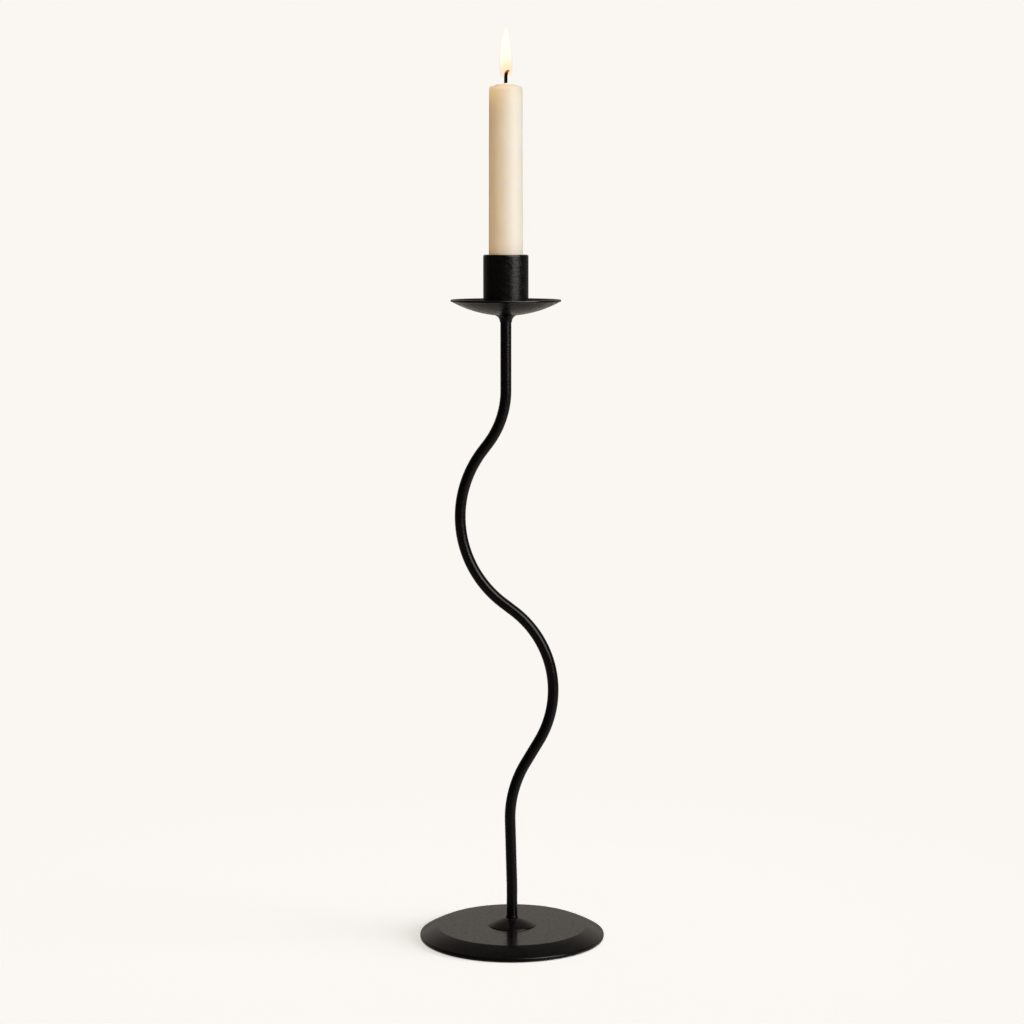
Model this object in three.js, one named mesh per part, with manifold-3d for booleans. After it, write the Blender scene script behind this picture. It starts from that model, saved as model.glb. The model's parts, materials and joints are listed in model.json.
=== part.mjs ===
// Taper candle holder. A round rod, bent into a wave, stands on a heavy turned base and carries a shallow
// drip pan, a cup and a candle. Two screws clamp it together: one up through the base, one down in the cup.
// Millimetres, +Z up, +X to the right seen from the front. The origin is on the floor, on the base's axis.

import * as THREE from 'three';
import { mergeVertices } from 'three/addons/utils/BufferGeometryUtils.js';
import Module from 'manifold-3d';

// Clearances between pieces
const PAINT_FILM = 0.06; // between two faces that a screw clamps together
const SLIP_FIT = 0.15; // around the rod, in its socket, ring and ferrule
const SCREW_CLEARANCE = 0.25; // around a screw's shank
const WASHER_CLEARANCE = 0.4; // around a washer in its counterbore
const FELT_CLEARANCE = 0.3; // around the felt in its recess
const WICK_CLEARANCE = 0.15; // around the wick in the wax
const CANDLE_CLEARANCE = 0.4; // around the candle in the cup
const CANDLE_SEAT = 0.3; // under the candle's foot

// Felt ring under the base
const FELT_THICKNESS = 1.34;
const FELT_PROUD = 0.6; // how far the felt holds the rim off the floor

// Base
const BASE_RADIUS = 61.5;
const BASE_THICKNESS = 7.6; // from the rim's lower edge to the flat top
const RIM_HEIGHT = 2;
const RIM_ROUND = 0.35;
const FLAT_RADIUS = 49.8;
const FLAT_EDGE_ROUND = 1.6;
const BEVEL_BULGE = 0.7; // how far the bevel swells over a straight cone
const BOSS_RADIUS = 16.4;
const BOSS_HEIGHT = 5.05;
const BOSS_LAND = 0.5; // flat ring round the rod's socket
const BOSS_BULGE = 1.1;
const SOCKET_DEPTH = 5;
const BASE_WEB_THICKNESS = 3; // metal between the rod's socket and the screw's counterbore
const FELT_MARGIN = 4.5; // bare land between the felt and the rim

// Ring at the rod's foot
const FOOT_RING_WALL = 0.4;
const FOOT_RING_HEIGHT = 1.1;

// Rod: straight runs and bends, walked up from its foot. A turn is in degrees, positive towards +X.
const ROD_RADIUS = 3.6; // a 7 mm rod and its coat
const FOOT_RUN = 19.2;
const SWAY_RADIUS = 475;
const SWAY_TURN = -1.6;
const LOWER_RUN = 38;
const LOWER_RADIUS = 73;
const LOWER_TURN = 32.4;
const MIDDLE_RUN = 17.2;
const MIDDLE_RADIUS = 67;
const MIDDLE_TURN = -83.4;
const UPPER_RUN = 8.5;
const UPPER_RADIUS = 72;
const UPPER_TURN = 89.9;
const NECK_RUN = 5.7;
const NECK_RADIUS = 58;
const TOP_RUN = 47.74;

// Ferrule between the rod and the pan
const FERRULE_RADIUS = 7.2;
const FERRULE_SKIRT = 3.4; // how far it reaches down the rod
const FERRULE_EDGE = 0.2; // wall at its lower edge
const FERRULE_WEB_THICKNESS = 0.8;

// Drip pan, a shallow spun dish with a beaded lip
const PAN_RADIUS = 36.1;
const DISH_RADIUS = 73; // of the sphere that its underside follows
const PAN_SHEET = 1.2;
const LIP_RADIUS = 0.8;

// Cup
const CUP_HEIGHT = 38.45; // above the middle of the pan
const CUP_WALL = 3.15;
const CUP_LIP_ROUND = 0.9;
const CUP_LEDGE = 6.1; // the ledge that the candle stands on
const CUP_WEB_THICKNESS = 2.2; // metal under the screw's washer

// Screws and washers
const SCREW_RADIUS = 2;
const SCREW_LENGTH = 14;
const SCREW_TIP_CHAMFER = 0.5;
const HEAD_RADIUS = 3.8;
const HEAD_HEIGHT = 2.2;
const HEX_RADIUS = 1.45;
const HEX_DEPTH = 1.3;
const TAP_EXTRA = 2; // tapped hole beyond the screw's tip
const WASHER_RADIUS = 6;
const WASHER_THICKNESS = 1;

// Candle and wick
const CANDLE_LENGTH = 139.9; // from the foot to the shoulder
const CANDLE_FOOT_RADIUS = 11.2;
const CANDLE_TOP_RADIUS = 10.85;
const CANDLE_CHAMFER = 0.8;
const SHOULDER_ROUND = 1.8;
const CROWN_HEIGHT = 1.4;
const CROWN_RADIUS = 5.6; // flat middle of the crown
const WICK_RADIUS = 1.1;
const WICK_STAND = 9; // above the crown
const WICK_LEAN = 1.4; // of its tip, towards +X
const WICK_FOOT = 0.5; // wax under the wick

// Facets
const WIDE_SEGMENTS = 60;
const CUP_SEGMENTS = 44;
const CANDLE_SEGMENTS = 36;
const SMALL_SEGMENTS = 28;
const ROD_SIDES = 18;
const ROD_STEPS = 56;
const WICK_SIDES = 8;
const WICK_STEPS = 50;
const ARC_STEPS = 4; // divisions of a short arc or curve in a turned outline
const DISH_STEPS = 4;

// Heights in the base, worked up from the floor
const rimBottom = FELT_PROUD;
const recessTop = FELT_THICKNESS + PAINT_FILM;
const baseTop = rimBottom + BASE_THICKNESS;
const bossTop = baseTop + BOSS_HEIGHT;
const socketFloor = bossTop - SOCKET_DEPTH;
const counterboreTop = socketFloor - BASE_WEB_THICKNESS;
const washerTop = counterboreTop - PAINT_FILM;
const baseHeadSeat = washerTop - WASHER_THICKNESS - PAINT_FILM;
const rodFoot = socketFloor + PAINT_FILM;

// Radii that follow from the rod, the screws and the candle
const socketRadius = ROD_RADIUS + SLIP_FIT;
const bossTopRadius = socketRadius + BOSS_LAND;
const screwHole = SCREW_RADIUS + SCREW_CLEARANCE;
const counterboreRadius = WASHER_RADIUS + WASHER_CLEARANCE;
const cupBore = CANDLE_FOOT_RADIUS + CANDLE_CLEARANCE;
const cupRadius = cupBore + CUP_WALL;
const recessRadius = BASE_RADIUS - FELT_MARGIN;

// Heights above the rod's upper end
const ferruleSeat = PAINT_FILM;
const panSeat = ferruleSeat + FERRULE_WEB_THICKNESS + PAINT_FILM;
const cupSeat = panSeat + PAN_SHEET;
const cupWasherSeat = cupSeat + CUP_WEB_THICKNESS + PAINT_FILM;
const cupHeadSeat = cupWasherSeat + WASHER_THICKNESS + PAINT_FILM;
const candleSeat = cupSeat + CUP_LEDGE + CANDLE_SEAT;

// Tapped holes in the rod's two ends, each a little deeper than its screw
const footTapDepth = SCREW_LENGTH - (rodFoot - baseHeadSeat) + TAP_EXTRA;
const topTapDepth = SCREW_LENGTH - cupHeadSeat + TAP_EXTRA;

const blackCoat = new THREE.MeshStandardMaterial({ color: 0x1d1c1a, roughness: 0.5, metalness: 0.35 });
const zinc = new THREE.MeshStandardMaterial({ color: 0xb4b7bb, roughness: 0.35, metalness: 1 });
const felt = new THREE.MeshStandardMaterial({ color: 0x26241f, roughness: 1, metalness: 0 });
const wax = new THREE.MeshStandardMaterial({ color: 0xeee2cb, roughness: 0.45, metalness: 0 });
const cotton = new THREE.MeshStandardMaterial({ color: 0x2b221c, roughness: 0.95, metalness: 0 });

const wasm = await Module();
wasm.setup();

// A geometry with its shared corners joined, so that it is one closed surface.
function closed(geometry) {
  const bare = geometry.clone();
  bare.deleteAttribute('normal');
  bare.deleteAttribute('uv');
  return mergeVertices(bare, 1e-5);
}

function toSolid(geometry) {
  const surface = closed(geometry);
  return new wasm.Manifold(new wasm.Mesh({
    numProp: 3,
    vertProperties: new Float32Array(surface.attributes.position.array),
    triVerts: new Uint32Array(surface.index.array),
  }));
}

function fromSolid(solid) {
  const mesh = solid.getMesh();
  const geometry = new THREE.BufferGeometry();
  geometry.setAttribute('position', new THREE.BufferAttribute(mesh.vertProperties, 3));
  geometry.setIndex(new THREE.BufferAttribute(mesh.triVerts, 1));
  return geometry;
}

// Turns an outline of (radius, height) points about the Z axis. The outline runs anticlockwise:
// out along the bottom, up the outside, in along the top.
function turned(outline, segments, divisions = ARC_STEPS) {
  const geometry = new THREE.LatheGeometry(outline.getPoints(divisions), segments);
  geometry.rotateX(Math.PI / 2);
  return closed(geometry);
}

// A plain ring of rectangular section, standing on z = 0.
function flatRing(inner, outer, height, segments) {
  const outline = new THREE.Path();
  outline.moveTo(inner, 0);
  outline.lineTo(outer, 0);
  outline.lineTo(outer, height);
  outline.lineTo(inner, height);
  outline.closePath();
  return turned(outline, segments);
}

// The round section that a rod or wick is swept from.
function roundSection(radius, sides) {
  const corners = [];
  for (let i = 0; i < sides; i += 1) {
    const angle = (2 * Math.PI * i) / sides;
    corners.push(new THREE.Vector2(radius * Math.cos(angle), radius * Math.sin(angle)));
  }
  return new THREE.Shape(corners);
}

// The rod's centre line in the plane y = 0, measured by length from its foot.
class BentLine extends THREE.Curve {
  constructor(footHeight, bends) {
    super();
    this.pieces = [];
    this.total = 0;
    this.end = { x: 0, z: footHeight, heading: 0 };
    for (const { run, radius, turn } of bends) {
      this.append(run, 0);
      if (turn) {
        this.append(radius * Math.abs(turn), Math.sign(turn) / radius);
      }
    }
  }

  // The place and heading a given distance into a piece; the heading is measured from +Z towards +X.
  static along(piece, distance) {
    const { x, z, heading, curvature } = piece;
    if (curvature === 0) {
      return { x: x + distance * Math.sin(heading), z: z + distance * Math.cos(heading), heading };
    }
    const turnedTo = heading + curvature * distance;
    return {
      x: x + (Math.cos(heading) - Math.cos(turnedTo)) / curvature,
      z: z + (Math.sin(turnedTo) - Math.sin(heading)) / curvature,
      heading: turnedTo,
    };
  }

  append(length, curvature) {
    const piece = { ...this.end, curvature, from: this.total, length };
    this.pieces.push(piece);
    this.end = BentLine.along(piece, length);
    this.total += length;
  }

  getPoint(t, target = new THREE.Vector3()) {
    const distance = t * this.total;
    const piece = this.pieces.findLast((each) => each.from <= distance) ?? this.pieces[0];
    const place = BentLine.along(piece, distance - piece.from);
    return target.set(place.x, 0, place.z);
  }
}

function bendLine() {
  const turns = [SWAY_TURN, LOWER_TURN, MIDDLE_TURN, UPPER_TURN].map(THREE.MathUtils.degToRad);
  const [sway, lower, middle, upper] = turns;
  const upright = -(sway + lower + middle + upper);
  return new BentLine(rodFoot, [
    { run: FOOT_RUN, radius: SWAY_RADIUS, turn: sway },
    { run: LOWER_RUN, radius: LOWER_RADIUS, turn: lower },
    { run: MIDDLE_RUN, radius: MIDDLE_RADIUS, turn: middle },
    { run: UPPER_RUN, radius: UPPER_RADIUS, turn: upper },
    { run: NECK_RUN, radius: NECK_RADIUS, turn: upright },
    { run: TOP_RUN, radius: 0, turn: 0 },
  ]);
}

// A tapped hole's core, standing on z = 0.
function tapCore(depth) {
  const core = new THREE.CylinderGeometry(screwHole, screwHole, depth, SMALL_SEGMENTS);
  core.rotateX(Math.PI / 2);
  core.translate(0, 0, depth / 2);
  return core;
}

// The bent rod: a round section swept along its centre line, tapped at both ends.
function makeStem(line) {
  const sweep = new THREE.ExtrudeGeometry(roundSection(ROD_RADIUS, ROD_SIDES), {
    steps: ROD_STEPS,
    bevelEnabled: false,
    extrudePath: line,
  });
  const footHole = tapCore(footTapDepth + PAINT_FILM);
  footHole.translate(0, 0, rodFoot - PAINT_FILM);
  const topHole = tapCore(topTapDepth + PAINT_FILM);
  topHole.translate(line.end.x, 0, line.end.z - topTapDepth);
  return fromSolid(toSolid(sweep).subtract(toSolid(footHole)).subtract(toSolid(topHole)));
}

// The base: a disc with a thin upright rim, a swelling bevel, a flat top and a low domed boss. Underneath
// it has a shallow recess for the felt and a counterbore for the screw and its washer.
function makeBase() {
  const rimTop = rimBottom + RIM_HEIGHT;
  const bevelDrop = (baseTop - rimTop) / (BASE_RADIUS - FLAT_RADIUS);
  const bevelMiddle = (FLAT_RADIUS + BASE_RADIUS) / 2;
  const bossMiddle = (bossTopRadius + BOSS_RADIUS) / 2;
  const outline = new THREE.Path();
  outline.moveTo(screwHole, counterboreTop);
  outline.lineTo(counterboreRadius, counterboreTop);
  outline.lineTo(counterboreRadius, recessTop);
  outline.lineTo(recessRadius, recessTop);
  outline.lineTo(recessRadius, rimBottom);
  outline.lineTo(BASE_RADIUS - RIM_ROUND, rimBottom);
  outline.lineTo(BASE_RADIUS, rimBottom + RIM_ROUND);
  outline.lineTo(BASE_RADIUS, rimTop - RIM_ROUND);
  outline.lineTo(BASE_RADIUS - RIM_ROUND, rimTop + RIM_ROUND * bevelDrop);
  outline.quadraticCurveTo(
    bevelMiddle, (baseTop + rimTop) / 2 + BEVEL_BULGE,
    FLAT_RADIUS + FLAT_EDGE_ROUND, baseTop - FLAT_EDGE_ROUND * bevelDrop,
  );
  outline.quadraticCurveTo(FLAT_RADIUS, baseTop, FLAT_RADIUS - FLAT_EDGE_ROUND, baseTop);
  outline.lineTo(BOSS_RADIUS, baseTop);
  outline.quadraticCurveTo(bossMiddle, (baseTop + bossTop) / 2 + BOSS_BULGE, bossTopRadius, bossTop);
  outline.lineTo(socketRadius, bossTop);
  outline.lineTo(socketRadius, socketFloor);
  outline.lineTo(screwHole, socketFloor);
  outline.closePath();
  return turned(outline, WIDE_SEGMENTS);
}

// The thin half-round ring that covers the joint where the rod enters the boss.
function makeFootRing() {
  const outline = new THREE.Path();
  outline.moveTo(socketRadius, 0);
  outline.lineTo(socketRadius + FOOT_RING_WALL / 2, 0);
  outline.quadraticCurveTo(
    socketRadius + 1.5 * FOOT_RING_WALL, FOOT_RING_HEIGHT / 2,
    socketRadius + FOOT_RING_WALL / 2, FOOT_RING_HEIGHT,
  );
  outline.lineTo(socketRadius, FOOT_RING_HEIGHT);
  outline.closePath();
  return turned(outline, SMALL_SEGMENTS);
}

// The ferrule flares from a feather edge on the rod to the pan, and its web lies on the rod's end.
function makeFerrule() {
  const edgeRadius = socketRadius + FERRULE_EDGE;
  const centre = FERRULE_WEB_THICKNESS + PAINT_FILM + DISH_RADIUS;
  const arc = DISH_RADIUS + PAINT_FILM;
  const flareTop = centre - Math.sqrt(arc ** 2 - FERRULE_RADIUS ** 2);
  const outline = new THREE.Path();
  outline.moveTo(screwHole, 0);
  outline.lineTo(socketRadius, 0);
  outline.lineTo(socketRadius, -FERRULE_SKIRT);
  outline.lineTo(edgeRadius, -FERRULE_SKIRT);
  outline.bezierCurveTo(
    edgeRadius, -FERRULE_SKIRT / 3,
    edgeRadius + (FERRULE_RADIUS - edgeRadius) / 3, flareTop / 3,
    FERRULE_RADIUS, flareTop,
  );
  outline.absarc(
    0, centre, arc,
    Math.asin(FERRULE_RADIUS / arc) - Math.PI / 2, Math.asin(screwHole / arc) - Math.PI / 2, true,
  );
  outline.closePath();
  return turned(outline, SMALL_SEGMENTS);
}

// The pan: two arcs about one centre, joined by the hole's edge in the middle and the lip's bead outside.
function makePan() {
  const inside = DISH_RADIUS - PAN_SHEET;
  const middle = DISH_RADIUS - PAN_SHEET / 2;
  const lipAngle = Math.asin((PAN_RADIUS - LIP_RADIUS) / middle);
  const lip = new THREE.Vector2(middle * Math.sin(lipAngle), DISH_RADIUS - middle * Math.cos(lipAngle));

  // Where an arc about the dish's centre runs into the bead
  const meets = (arc) => {
    const spread = Math.acos((arc ** 2 + middle ** 2 - LIP_RADIUS ** 2) / (2 * arc * middle));
    const angle = lipAngle - spread;
    const point = new THREE.Vector2(arc * Math.sin(angle), DISH_RADIUS - arc * Math.cos(angle));
    return { arcAngle: angle - Math.PI / 2, beadAngle: point.sub(lip).angle() };
  };

  const under = meets(DISH_RADIUS);
  const over = meets(inside);
  const outline = new THREE.Path();
  outline.absarc(0, DISH_RADIUS, DISH_RADIUS,
    Math.asin(screwHole / DISH_RADIUS) - Math.PI / 2, under.arcAngle, false);
  outline.absarc(lip.x, lip.y, LIP_RADIUS, under.beadAngle, over.beadAngle, false);
  outline.absarc(0, DISH_RADIUS, inside, over.arcAngle, Math.asin(screwHole / inside) - Math.PI / 2, true);
  outline.closePath();
  return turned(outline, WIDE_SEGMENTS, DISH_STEPS);
}

// The cup: its foot follows the pan, its bore has a ledge for the candle and a pocket for the screw.
function makeCup() {
  const centre = DISH_RADIUS - PAN_SHEET;
  const arc = centre - PAINT_FILM;
  const lipStart = CUP_HEIGHT - CUP_LIP_ROUND;
  const outline = new THREE.Path();
  outline.absarc(0, centre, arc,
    Math.asin(screwHole / arc) - Math.PI / 2, Math.asin(cupRadius / arc) - Math.PI / 2, false);
  outline.lineTo(cupRadius, lipStart);
  outline.absarc(cupRadius - CUP_LIP_ROUND, lipStart, CUP_LIP_ROUND, 0, Math.PI / 2, false);
  outline.lineTo(cupBore + CUP_LIP_ROUND, CUP_HEIGHT);
  outline.quadraticCurveTo(cupBore, CUP_HEIGHT, cupBore, lipStart);
  outline.lineTo(cupBore, CUP_LEDGE);
  outline.lineTo(counterboreRadius, CUP_LEDGE);
  outline.lineTo(counterboreRadius, CUP_WEB_THICKNESS);
  outline.lineTo(screwHole, CUP_WEB_THICKNESS);
  outline.closePath();
  return turned(outline, CUP_SEGMENTS, 2);
}

// A screw with its head's bearing face on z = 0 and its shank below, with a hexagon pocket in the head.
function makeScrew() {
  const outline = new THREE.Path();
  outline.moveTo(0, -SCREW_LENGTH);
  outline.lineTo(SCREW_RADIUS - SCREW_TIP_CHAMFER, -SCREW_LENGTH);
  outline.lineTo(SCREW_RADIUS, SCREW_TIP_CHAMFER - SCREW_LENGTH);
  outline.lineTo(SCREW_RADIUS, 0);
  outline.lineTo(HEAD_RADIUS, 0);
  outline.lineTo(HEAD_RADIUS, HEAD_HEIGHT / 3);
  outline.quadraticCurveTo(HEAD_RADIUS - HEAD_HEIGHT / 4, HEAD_HEIGHT, HEAD_RADIUS - HEAD_HEIGHT, HEAD_HEIGHT);
  outline.lineTo(0, HEAD_HEIGHT);
  const pocket = new THREE.CylinderGeometry(HEX_RADIUS, HEX_RADIUS, 2 * HEX_DEPTH, 6);
  pocket.rotateX(Math.PI / 2);
  pocket.translate(0, 0, HEAD_HEIGHT);
  return fromSolid(toSolid(turned(outline, SMALL_SEGMENTS)).subtract(toSolid(pocket)));
}

// The candle: slightly tapered, with rounded shoulders, a low crown and the wick's bore right through.
function makeCandle() {
  const bore = WICK_RADIUS + WICK_CLEARANCE;
  const shoulderStart = CANDLE_LENGTH - SHOULDER_ROUND;
  const crownTop = CANDLE_LENGTH + CROWN_HEIGHT;
  const shoulder = CANDLE_TOP_RADIUS - SHOULDER_ROUND;
  const outline = new THREE.Path();
  outline.moveTo(bore, 0);
  outline.lineTo(CANDLE_FOOT_RADIUS - CANDLE_CHAMFER, 0);
  outline.lineTo(CANDLE_FOOT_RADIUS, CANDLE_CHAMFER);
  outline.lineTo(CANDLE_TOP_RADIUS, shoulderStart);
  outline.absarc(shoulder, shoulderStart, SHOULDER_ROUND, 0, Math.PI / 2, false);
  outline.bezierCurveTo(
    (shoulder + CROWN_RADIUS) / 2, CANDLE_LENGTH,
    (shoulder + CROWN_RADIUS) / 2, crownTop,
    CROWN_RADIUS, crownTop,
  );
  outline.lineTo(bore, crownTop);
  outline.closePath();
  return turned(outline, CANDLE_SEGMENTS);
}

// The wick runs the candle's length and leans over above the crown.
function makeWick() {
  const crownTop = CANDLE_LENGTH + CROWN_HEIGHT;
  const line = new THREE.CurvePath();
  const straightTop = new THREE.Vector3(0, 0, crownTop);
  line.add(new THREE.LineCurve3(new THREE.Vector3(0, 0, WICK_FOOT), straightTop));
  line.add(new THREE.QuadraticBezierCurve3(
    straightTop,
    new THREE.Vector3(0, 0, crownTop + WICK_STAND / 2),
    new THREE.Vector3(WICK_LEAN, 0, crownTop + WICK_STAND),
  ));
  return closed(new THREE.ExtrudeGeometry(roundSection(WICK_RADIUS, WICK_SIDES), {
    steps: WICK_STEPS,
    bevelEnabled: false,
    extrudePath: line,
  }));
}

function place(group, name, geometry, material, height) {
  const mesh = new THREE.Mesh(geometry, material);
  mesh.name = name;
  mesh.position.z = height;
  group.add(mesh);
  return mesh;
}

const holder = new THREE.Group();
const line = bendLine();
const washer = flatRing(screwHole, WASHER_RADIUS, WASHER_THICKNESS, SMALL_SEGMENTS);
const feltRing = flatRing(counterboreRadius + FELT_CLEARANCE, recessRadius - FELT_CLEARANCE,
  FELT_THICKNESS, CUP_SEGMENTS);

// On the floor, about the base's axis
place(holder, 'base_felt', feltRing, felt, 0);
place(holder, 'base_plate', makeBase(), blackCoat, 0);
place(holder, 'base_washer', washer, zinc, washerTop - WASHER_THICKNESS);
place(holder, 'base_screw', makeScrew(), zinc, baseHeadSeat).rotation.x = Math.PI;
place(holder, 'foot_ring', makeFootRing(), blackCoat, bossTop + PAINT_FILM);
place(holder, 'stem', makeStem(line), blackCoat, 0);

// On the rod's upper end, wherever the bends have taken it
const top = new THREE.Group();
top.position.set(line.end.x, 0, line.end.z);
holder.add(top);
place(top, 'pan_ferrule', makeFerrule(), blackCoat, ferruleSeat);
place(top, 'drip_pan', makePan(), blackCoat, panSeat);
place(top, 'candle_cup', makeCup(), blackCoat, cupSeat);
place(top, 'cup_washer', washer, zinc, cupWasherSeat);
place(top, 'cup_screw', makeScrew(), zinc, cupHeadSeat);
place(top, 'candle', makeCandle(), wax, candleSeat);
place(top, 'wick', makeWick(), cotton, candleSeat);

export default holder;
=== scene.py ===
# %% [markdown]
# # A taper candle holder
# A round steel rod, bent into a wave, stands on a heavy turned base and carries a shallow drip pan, a cup
# and an ivory candle with a lit wick. Everything but the candle, the wick, the screws, their washers and
# the felt wears one fine-grained satin black powder coat.
#
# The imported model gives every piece's real size and place. Blender gives each one a finer mesh in the same
# place, and its finish. Lengths are in metres, but outlines of turned pieces are in millimetres; MM turns
# millimetres into metres.

import json
import math

import bmesh
import bpy
from mathutils import Matrix, Vector

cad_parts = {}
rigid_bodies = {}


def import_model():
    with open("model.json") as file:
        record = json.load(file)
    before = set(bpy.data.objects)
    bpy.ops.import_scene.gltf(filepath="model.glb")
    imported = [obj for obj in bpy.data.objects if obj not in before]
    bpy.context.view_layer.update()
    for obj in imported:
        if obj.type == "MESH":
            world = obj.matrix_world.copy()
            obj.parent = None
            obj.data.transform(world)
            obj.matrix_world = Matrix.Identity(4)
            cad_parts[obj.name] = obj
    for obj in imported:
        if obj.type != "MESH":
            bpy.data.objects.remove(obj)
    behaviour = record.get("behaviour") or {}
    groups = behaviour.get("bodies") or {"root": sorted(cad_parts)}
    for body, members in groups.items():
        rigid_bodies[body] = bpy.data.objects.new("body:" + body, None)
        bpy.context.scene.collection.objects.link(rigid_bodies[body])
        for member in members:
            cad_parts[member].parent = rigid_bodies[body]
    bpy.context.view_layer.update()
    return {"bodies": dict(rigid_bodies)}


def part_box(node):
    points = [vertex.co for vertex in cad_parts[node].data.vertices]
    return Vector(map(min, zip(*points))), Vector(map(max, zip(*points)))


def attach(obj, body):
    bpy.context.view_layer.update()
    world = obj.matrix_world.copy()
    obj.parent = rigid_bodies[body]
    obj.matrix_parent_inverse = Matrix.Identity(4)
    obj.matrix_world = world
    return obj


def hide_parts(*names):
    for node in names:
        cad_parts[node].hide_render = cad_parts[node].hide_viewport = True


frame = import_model()
MM = 0.001

# %% [markdown]
# ## The camera
# The photograph looks slightly down from the front. Its place and lens were worked out from the ellipses of
# the base and the pan, with a standard candle as the ruler, so that the render lies over the photograph.

# %% Camera
CAMERA_DISTANCE = 1.60954
CAMERA_HEIGHT = 0.46756
CAMERA_TILT = 6.431
CAMERA_LENS = 86.608
SENSOR_WIDTH = 36.0

camera_data = bpy.data.cameras.new("camera")
camera_data.lens = CAMERA_LENS
camera_data.sensor_width = SENSOR_WIDTH
camera = bpy.data.objects.new("camera", camera_data)
camera.location = (0, -CAMERA_DISTANCE, CAMERA_HEIGHT)
camera.rotation_euler = (math.radians(90 - CAMERA_TILT), 0, 0)
bpy.context.scene.collection.objects.link(camera)
bpy.context.scene.camera = camera
print("camera:", CAMERA_LENS, "mm, tilted down", CAMERA_TILT, "degrees")

# %% [markdown]
# ## Node helpers
# Shader trees and Geometry Nodes trees are wired the same way: add a node, set its options, and give each
# input either a value or another node's output. Small helpers do that for both.

# %% Node helpers
def fill(tree, node, inputs):
    """Fills a node's inputs, by name or number, with values or outputs. A node gives its first output."""
    for key, value in inputs.items():
        if isinstance(value, bpy.types.Node):
            value = value.outputs[0]
        if isinstance(value, bpy.types.NodeSocket):
            tree.links.new(value, node.inputs[key])
        else:
            node.inputs[key].default_value = value


def add(tree, kind, inputs=None, **options):
    """Adds a node, sets its options and fills its inputs."""
    node = tree.nodes.new(kind)
    for key, value in options.items():
        setattr(node, key, value)
    fill(tree, node, inputs or {})
    return node


def sums(tree, operation, *values):
    """The result of a Math node on one, two or three values."""
    return add(tree, "ShaderNodeMath", dict(enumerate(values)), operation=operation).outputs[0]


def product(tree, first, *others):
    """The product of several values."""
    for value in others:
        first = sums(tree, "MULTIPLY", first, value)
    return first


def mix(tree, share, first, second, kind="RGBA"):
    """Two colours mixed, or two numbers with the kind FLOAT."""
    node = add(tree, "ShaderNodeMix", {"Factor": share, "A": first, "B": second}, data_type=kind)
    return node.outputs["Result"]


def ramp(tree, value, *stops):
    """A Color Ramp's colour for a value, from (position, colour) stops."""
    node = add(tree, "ShaderNodeValToRGB", {0: value})
    elements = node.color_ramp.elements
    while len(elements) < len(stops):
        elements.new(0.5)
    for element, (position, colour) in zip(elements, stops):
        element.position = position
        element.color = (*colour, 1)
    return node.outputs[0]


def between(tree, value, low, high, to_low=0.0, to_high=1.0):
    """Maps a value from one range to another, and stops at the ends."""
    node = add(tree, "ShaderNodeMapRange",
               {"Value": value, "From Min": low, "From Max": high, "To Min": to_low, "To Max": to_high})
    return node.outputs[0]


def noise(tree, place, scale, detail=2.0, roughness=0.5):
    """A noise texture's value, at so many bumps to the metre."""
    node = add(tree, "ShaderNodeTexNoise",
               {"Vector": place, "Scale": scale, "Detail": detail, "Roughness": roughness})
    return node.outputs[0]


def axes(tree, vector):
    """A vector's X, Y and Z."""
    return add(tree, "ShaderNodeSeparateXYZ", {0: vector}).outputs

# %% Material helpers
def bare(name):
    """A new material with an empty tree."""
    material = bpy.data.materials.new(name)
    material.use_nodes = True
    material.node_tree.nodes.clear()
    return material, material.node_tree


def finish(name):
    """A new material with its tree, its Principled shader and the Object coordinates."""
    material = bpy.data.materials.new(name)
    material.use_nodes = True
    tree = material.node_tree
    print("finish:", name)
    return material, tree, tree.nodes["Principled BSDF"], add(tree, "ShaderNodeTexCoord").outputs["Object"]


def relief(tree, shader, height, depth, strength=1.0, under=None):
    """Bump from a height map; depth is the real height of its bumps in metres."""
    inputs = {"Height": height, "Distance": depth, "Strength": strength}
    if under is not None:
        inputs["Normal"] = under
    bump = add(tree, "ShaderNodeBump", inputs)
    fill(tree, shader, {"Normal": bump})
    return bump.outputs[0]

# %% [markdown]
# ## Powder coat
# The holder is steel under a black powder coat, baked on. The powder melts into a satin skin that isn't
# quite level. On upright faces it keeps a grain a little over a millimetre across, which breaks a highlight
# into speckles. On fillets and flats the melt levels out, so that they are smoother and glossier.
#
# Soft Voronoi cells give the grain and a much finer noise dulls the highlight, both as real bump heights.
# How far a face looks up decides how much of the grain is left. Slow noises drift the colour and the gloss,
# and specks of dust lie on what faces up.

# %% Powder coat
COAT_GRAIN, COAT_FINE_GRAIN = 720.0, 4200.0
COAT_GRAIN_HEIGHT, COAT_FINE_HEIGHT = 0.06 * MM, 0.012 * MM
COAT_CLOUD, COAT_PATCH, COAT_SPECKS = 55.0, 380.0, 650.0
COAT_DARK, COAT_PALE = (0.0022, 0.0020, 0.0018), (0.0040, 0.0037, 0.0033)
COAT_DUST = (0.018, 0.0165, 0.0145, 1)
COAT_LEVELLED = 0.15
SIDE_ROUGHNESS, FLAT_ROUGHNESS, GLOSS_DRIFT = 0.27, 0.16, 0.09


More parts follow.
